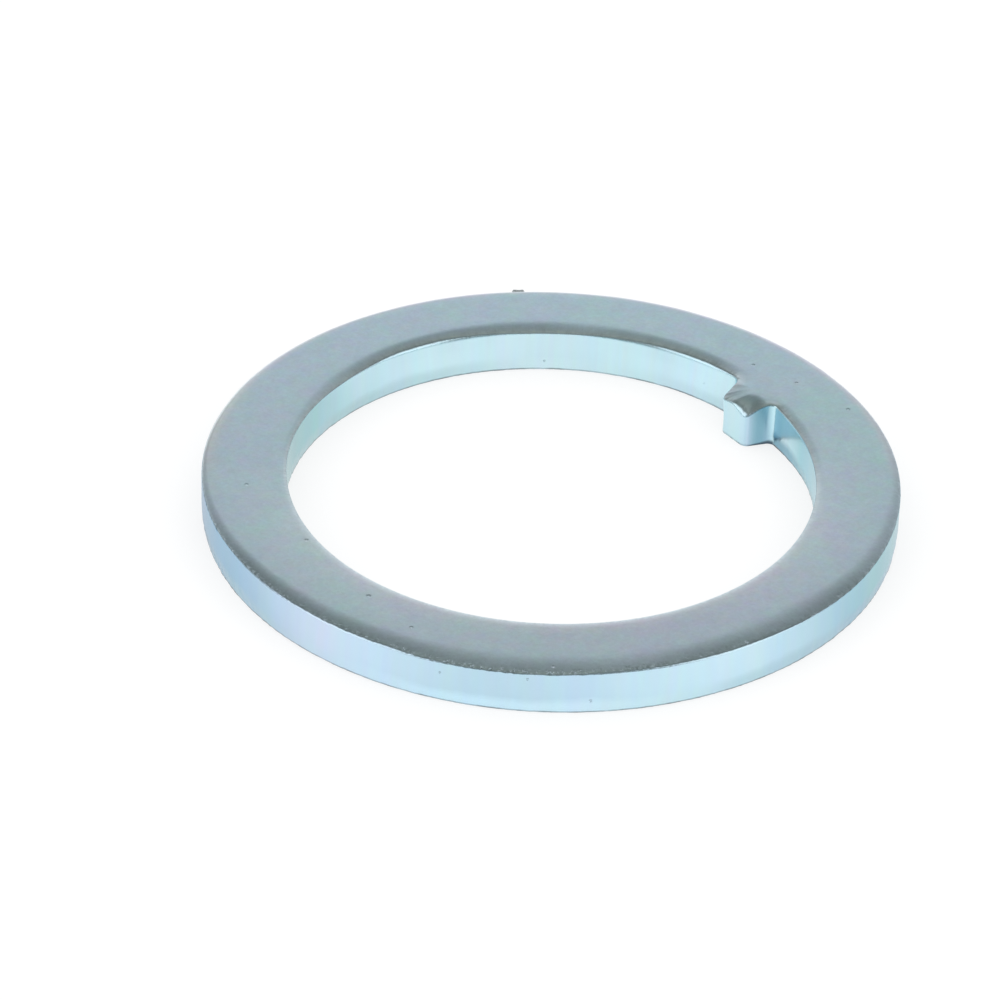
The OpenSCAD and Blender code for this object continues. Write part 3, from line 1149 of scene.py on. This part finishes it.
def fine_relief():
    wires, given, result = shader_group("fine_relief", {
        "Place": (VECTOR, None), "Wall": (FLOAT, 0.0), "Rolled": (FLOAT, 0.0),
        "Ragged": (FLOAT, 0.0), "Broken": (FLOAT, 0.0)}, {"Height": (FLOAT, None)})
    place, wall, rolled = given["Place"], given["Wall"], given["Rolled"]
    times = wires.times
    face = wires.math("SUBTRACT", 1.0, wall)
    grain = wires.math("ADD", times(wires.noise(place, 0.11 * MM, 4.0), 0.0022 * MM),
                       times(wires.noise(place, 0.3 * MM, 5.0), 0.005 * MM))
    hatch = times(streaks(wires, place, 0.13, 0.28, 4.0), rolled, 0.008 * MM)
    near_crease = wires.ramped(rolled, 0.62, 0.92, 0.0, 1.0, smooth=True)
    flecks = wires.ramped(streaks(wires, place, 0.16, 0.42, 5.0), 0.54, 0.62, 0.0, 1.0, smooth=True)
    flecks = times(flecks, near_crease, given["Ragged"], face, -fleck_depth)
    burnish = times(streaks(wires, place, 0.2, 3.0, 6.0), wall, 0.004 * MM)
    torn = times(wires.noise(place, 0.18 * MM, 6.0, detail=3.0), given["Broken"], 0.02 * MM)
    dents = 0.0
    for angle, radius, height, size in marks:
        way = math.radians(angle)
        spot = Vector((math.cos(way) * radius, math.sin(way) * radius, height)) * MM
        away = wires.vector("DISTANCE", place, tuple(spot))
        dent = wires.ramped(away, 0.3 * size * MM, size * MM, 1.0, 0.0, smooth=True)
        dents = wires.math("MAXIMUM", dents, dent)
    height = times(grain, face)
    for part in (hatch, flecks, burnish, torn, times(dents, -mark_depth)):
        height = wires.math("ADD", height, part)
    wires.feed(result["Height"], height)
    return wires.tree


relief_tree = fine_relief()
print(len(marks), "marks,", len(relief_tree.nodes), "nodes")

# %% [markdown]
# ## Plate the washer
#
# The material reads the masks, asks the groups for the film's colour and its small variation, and
# multiplies the two. On the key the hatch is faint, because that metal was drawn out smoothly.

# %% Colour of the plate
zinc_plate.use_nodes = True
plate = ShaderWiring(zinc_plate.node_tree)
place = plate.add("ShaderNodeGroup", node_tree=ring_tree, named={"Drift": 0.05}).node.outputs
mask = {name: plate.mask(name) for name in (
    "wall", "broken", "rolled", "ragged", "bore_side", "key_share", "on_key", "nib")}
hatched = plate.times(mask["rolled"], plate.ramped(mask["on_key"], 0.0, 1.0, 1.0, 0.25))
colour = plate.add("ShaderNodeGroup", node_tree=film_and_light_tree, named={
    "Place": place["Place"], "Turn": place["Turn"], "Radius": place["Radius"],
    "Bore Side": mask["bore_side"], "Wall": mask["wall"], "Broken": mask["broken"],
    "Rolled": mask["rolled"], "Ragged": mask["ragged"], "Key Share": mask["key_share"],
    "On Key": mask["on_key"]})
variation = plate.add("ShaderNodeGroup", node_tree=variation_tree, named={
    "Place": place["Place"], "Wall": mask["wall"], "Rolled": hatched})
colour = plate.tint(1.0, colour, variation, "MULTIPLY")
print("the plate reads", len(mask), "masks")

# %% [markdown]
# ## Painted shade, and the grey burr
#
# Three small things are darkened or greyed. The foot of each wall is painted dark in patches, as
# painted shade where it meets the floor. The foot of the key's right side stands over a gap that no
# light reaches, and a painted shadow darkens it there. The burr on the rim is plain grey.

# %% Painted shade at the foot of the walls and in the gap under the key, and the burr
foot_shade_full, foot_shade_end = 0.07 * MM, 0.2 * MM
foot_shade_patch = 1.6 * MM
# painted shade: the foot of each wall is darkened in patches where it meets the floor
foot = plate.ramped(place["Height"], foot_shade_full, foot_shade_end, 1.0, 0.0)
patchy = plate.ramped(plate.noise(place["Place"], foot_shade_patch, 8.0), 0.35, 0.6, 0.5, 1.0)
patchy = plate.times(patchy, plate.ramped(mask["on_key"], 0.0, 1.0, 1.0, 0.35))
foot = plate.times(mask["wall"], patchy, foot)
# the colour of the painted shade at the foot
colour = plate.tint(foot, colour, paint(100, 103, 106))

# painted shadow under the key's right side: the gap is high beside the fillet and low at the corner
gap_at_fillet, gap_at_corner = 0.42 * MM, 0.12 * MM
gap_height = plate.ramped(mask["key_share"], 0.10, 0.29, gap_at_fillet, gap_at_corner)
gap = plate.math("DIVIDE", place["Height"], gap_height)
gap = plate.ramped(gap, 0.35, 1.0, 1.0, 0.0, smooth=True)
right_side_only = plate.ramped(mask["key_share"], 0.26, 0.33, 1.0, 0.0)
gap = plate.times(right_side_only, mask["on_key"], gap)
# the colour of the painted shadow in the gap
colour = plate.tint(gap, colour, paint(82, 102, 114))
colour = plate.tint(mask["nib"], colour, paint(190, 198, 200))
# the darkened foot is painted shade
print(f"the dull foot ends {foot_shade_end / MM:.1f} mm above the bottom face")

# %% [markdown]
# ## The metal itself
#
# One Principled BSDF is enough. It is fully metallic, a little smoother on the burnished walls than
# on the satin faces, and the fine relief bends its normal through a Bump node.

# %% Shader of the zinc plate
face_roughness, wall_roughness, extra_on_burr = 0.30, 0.25, 0.1
shader = zinc_plate.node_tree.nodes["Principled BSDF"]
plate.feed(shader.inputs["Base Color"], colour)
shader.inputs["Metallic"].default_value = 1.0
roughness = plate.ramped(mask["wall"], 0.0, 1.0, face_roughness, wall_roughness)
roughness = plate.math("MULTIPLY_ADD", mask["nib"], extra_on_burr, roughness)
plate.feed(shader.inputs["Roughness"], roughness)
relief = plate.add("ShaderNodeGroup", node_tree=relief_tree, named={
    "Place": place["Place"], "Wall": mask["wall"], "Rolled": hatched,
    "Ragged": mask["ragged"], "Broken": mask["broken"]})
bump = plate.add("ShaderNodeBump", named={"Strength": 1.0, "Distance": 1.0, "Height": relief})
plate.feed(shader.inputs["Normal"], bump)
print(len(zinc_plate.node_tree.nodes), "nodes in the material")

# %% [markdown]
# ## Light
#
# The washer lies on a white sweep between two soft panels, under a dim ceiling. Polished metal shows
# what it reflects. The walls look down at the sweep and come out bright. The faces look up at the far
# wall, and the rolled edges look at the ceiling, which draws the dark band beside each edge. The
# world is white for everything but those reflections.

# %% The studio's surroundings
world = bpy.data.worlds.new("studio")
scene.world = world
world.use_nodes = True
sky = ShaderWiring(world.node_tree)
path = sky.add("ShaderNodeLightPath").node
direction = sky.add("ShaderNodeTexCoord", out="Generated")
split = sky.add("ShaderNodeSeparateXYZ", direction).node
glow = sky.ramp(split.outputs[2], [
    (0.0, (255, 255, 255)), (0.29, (236, 236, 236)), (0.58, (219, 219, 219)),
    (0.66, (150, 153, 148)), (0.74, (122, 126, 121)), (0.87, (136, 140, 134)), (1.0, (146, 150, 144)),
])
far_side = Vector((back.x, back.y, 0)).normalized()
toward = sky.vector("DOT_PRODUCT", direction, tuple(far_side))
opening = sky.ramped(toward, 0.55, 0.9, 1.0, 0.45, smooth=True)
aside = sky.math("ABSOLUTE", sky.vector("DOT_PRODUCT", direction, tuple(level)))
opening = sky.times(opening, sky.ramped(aside, 0.04, 0.42, 1.0, 0.58, smooth=True))
glow = sky.tint(1.0, glow, sky.add("ShaderNodeCombineXYZ", opening, opening, opening), "MULTIPLY")
light = sky.tint(path.outputs["Is Glossy Ray"], (1.0, 1.0, 1.0, 1.0), glow)
background = world.node_tree.nodes["Background"]
sky.feed(background.inputs["Color"], light)
print(len(world.node_tree.nodes), "nodes in the world")

# %% [markdown]
# ## Two soft panels
#
# A crease is so narrow that it only shows when something bright is mirrored in it. Two wide panels,
# one on each side, draw the light lines along the creases. They are kept dim, because a flat face
# mirrors a whole panel when the washer is seen from the side.

# %% A panel on each side
panel_distance = 0.6


def panel(name, azimuth, elevation, width, height, radiance):
    """Soft panel that faces the washer. The azimuth is turned from the camera's."""
    angle = camera_azimuth + math.radians(azimuth)
    tilt = math.radians(elevation)
    lamp = bpy.data.lights.new(name, "AREA")
    lamp.shape = "RECTANGLE"
    lamp.size, lamp.size_y = width, height
    lamp.energy = radiance * math.pi * width * height
    out = Vector((math.sin(angle) * math.cos(tilt), -math.cos(angle) * math.cos(tilt),
                  math.sin(tilt)))
    shown = bpy.data.objects.new(name, lamp)
    shown.location = out * panel_distance
    shown.rotation_mode = "QUATERNION"
    shown.rotation_quaternion = (-out).to_track_quat("-Z", "Y")
    scene.collection.objects.link(shown)
    print(name, "shines at", round(lamp.energy, 3), "W")


for name, azimuth in (("panel_right", 66), ("panel_left", -66)):
    panel(name, azimuth, elevation=26, width=0.45, height=0.5, radiance=0.8)

# %% [markdown]
# ## The white sweep
#
# The floor is white paper. To the lamps it is a plain diffuse surface, so it takes the washer's
# shadow. To the camera and to the metal's reflections it mostly glows by itself, which keeps it
# white without more light on the metal.

# %% Floor
sweep_half = 2
paper_glow = 1.055
glow_share = 0.7
ends = [(x * sweep_half, y * sweep_half, 0) for x, y in ((-1, -1), (1, -1), (1, 1), (-1, 1))]
floor_mesh = bpy.data.meshes.new("sweep")
floor_mesh.from_pydata(ends, [], [(0, 1, 2, 3)])
floor = bpy.data.objects.new("sweep", floor_mesh)
scene.collection.objects.link(floor)
paper = bpy.data.materials.new("white_paper")
paper.use_nodes = True
floor_mesh.materials.append(paper)
paper.node_tree.nodes.remove(paper.node_tree.nodes["Principled BSDF"])
sheet = ShaderWiring(paper.node_tree)
path = sheet.add("ShaderNodeLightPath").node
seen = sheet.math("MAXIMUM", path.outputs["Is Camera Ray"],
                  sheet.math("MAXIMUM", path.outputs["Is Glossy Ray"],
                             path.outputs["Is Transmission Ray"]))
plain = sheet.add("ShaderNodeBsdfDiffuse", (0.93, 0.94, 0.95, 1.0))
bright = sheet.add("ShaderNodeEmission", (1.0, 1.0, 1.0, 1.0), paper_glow)
mixed = sheet.add("ShaderNodeMixShader", sheet.times(seen, glow_share), plain, bright)
sheet.feed(paper.node_tree.nodes["Material Output"].inputs["Surface"], mixed)
print("the sweep is", 2 * sweep_half, "m wide")
